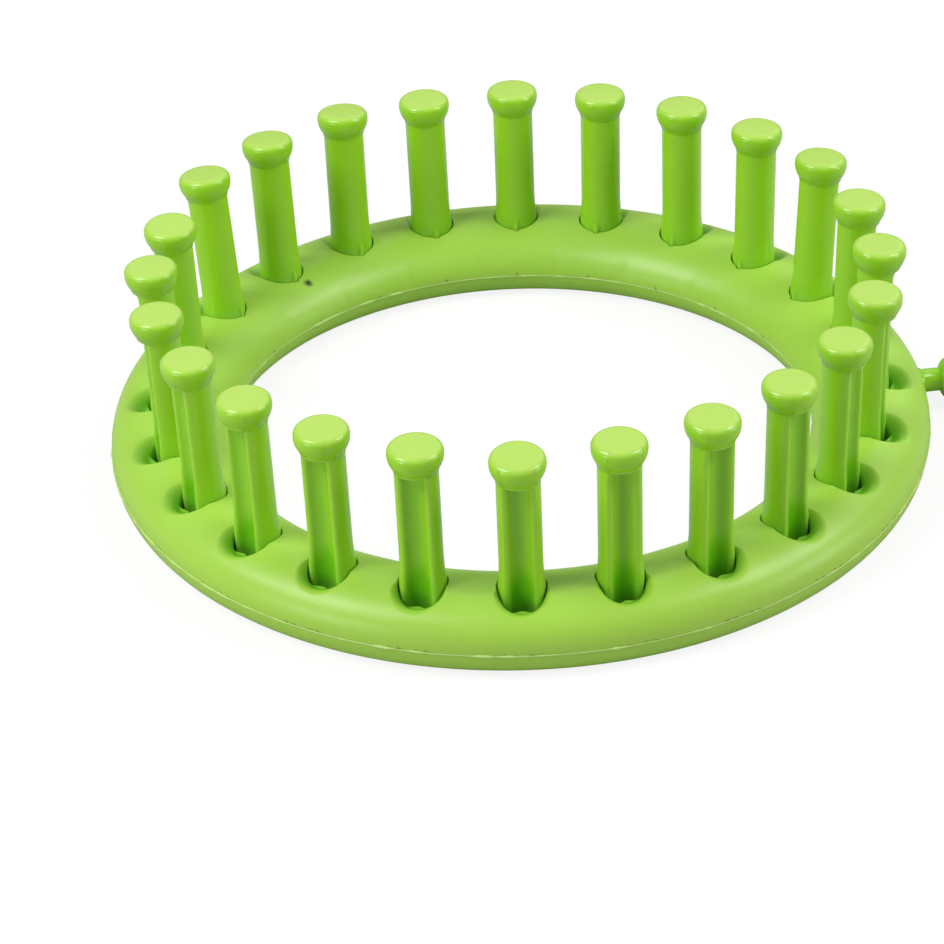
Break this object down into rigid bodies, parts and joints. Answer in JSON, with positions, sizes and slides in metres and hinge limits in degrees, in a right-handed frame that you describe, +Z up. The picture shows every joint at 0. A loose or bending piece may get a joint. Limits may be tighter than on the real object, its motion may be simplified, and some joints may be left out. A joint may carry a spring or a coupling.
{
  "type": "knitting loom",
  "caption": "Round hand-knitting loom: a hollow plastic ring with upright grooved round-headed pegs all round it and a small side peg for tying off the yarn.",
  "frame": {"origin": "centre of the whole loom's box, on the flat underside of the ring; the ring's own axis lies 3.55 mm towards -X, because the anchor peg stands out on +X", "axes": "+Z up along the ring's axis, from the flat underside to the pegs' heads; +X towards the anchor peg"},
  "size_m": [0.1458, 0.1388, 0.0366],
  "materials": {
    "ring_plastic": "satin lime-green moulded plastic",
    "peg_plastic": "glossy, deeper green moulded plastic"
  },
  "bodies": {
    "root": {"ring_upper_shell": "ring_plastic", "ring_lower_shell": "ring_plastic", "peg_01": "peg_plastic", "peg_02": "peg_plastic", "peg_03": "peg_plastic", "peg_04": "peg_plastic", "peg_05": "peg_plastic", "peg_06": "peg_plastic", "peg_07": "peg_plastic", "peg_08": "peg_plastic", "peg_09": "peg_plastic", "peg_10": "peg_plastic", "peg_11": "peg_plastic", "peg_12": "peg_plastic", "peg_13": "peg_plastic", "peg_14": "peg_plastic", "peg_15": "peg_plastic", "peg_16": "peg_plastic", "peg_17": "peg_plastic", "peg_18": "peg_plastic", "peg_19": "peg_plastic", "peg_20": "peg_plastic", "peg_21": "peg_plastic", "peg_22": "peg_plastic", "peg_23": "peg_plastic", "peg_24": "peg_plastic", "anchor_peg": "peg_plastic"}
  },
  "joints": []
}
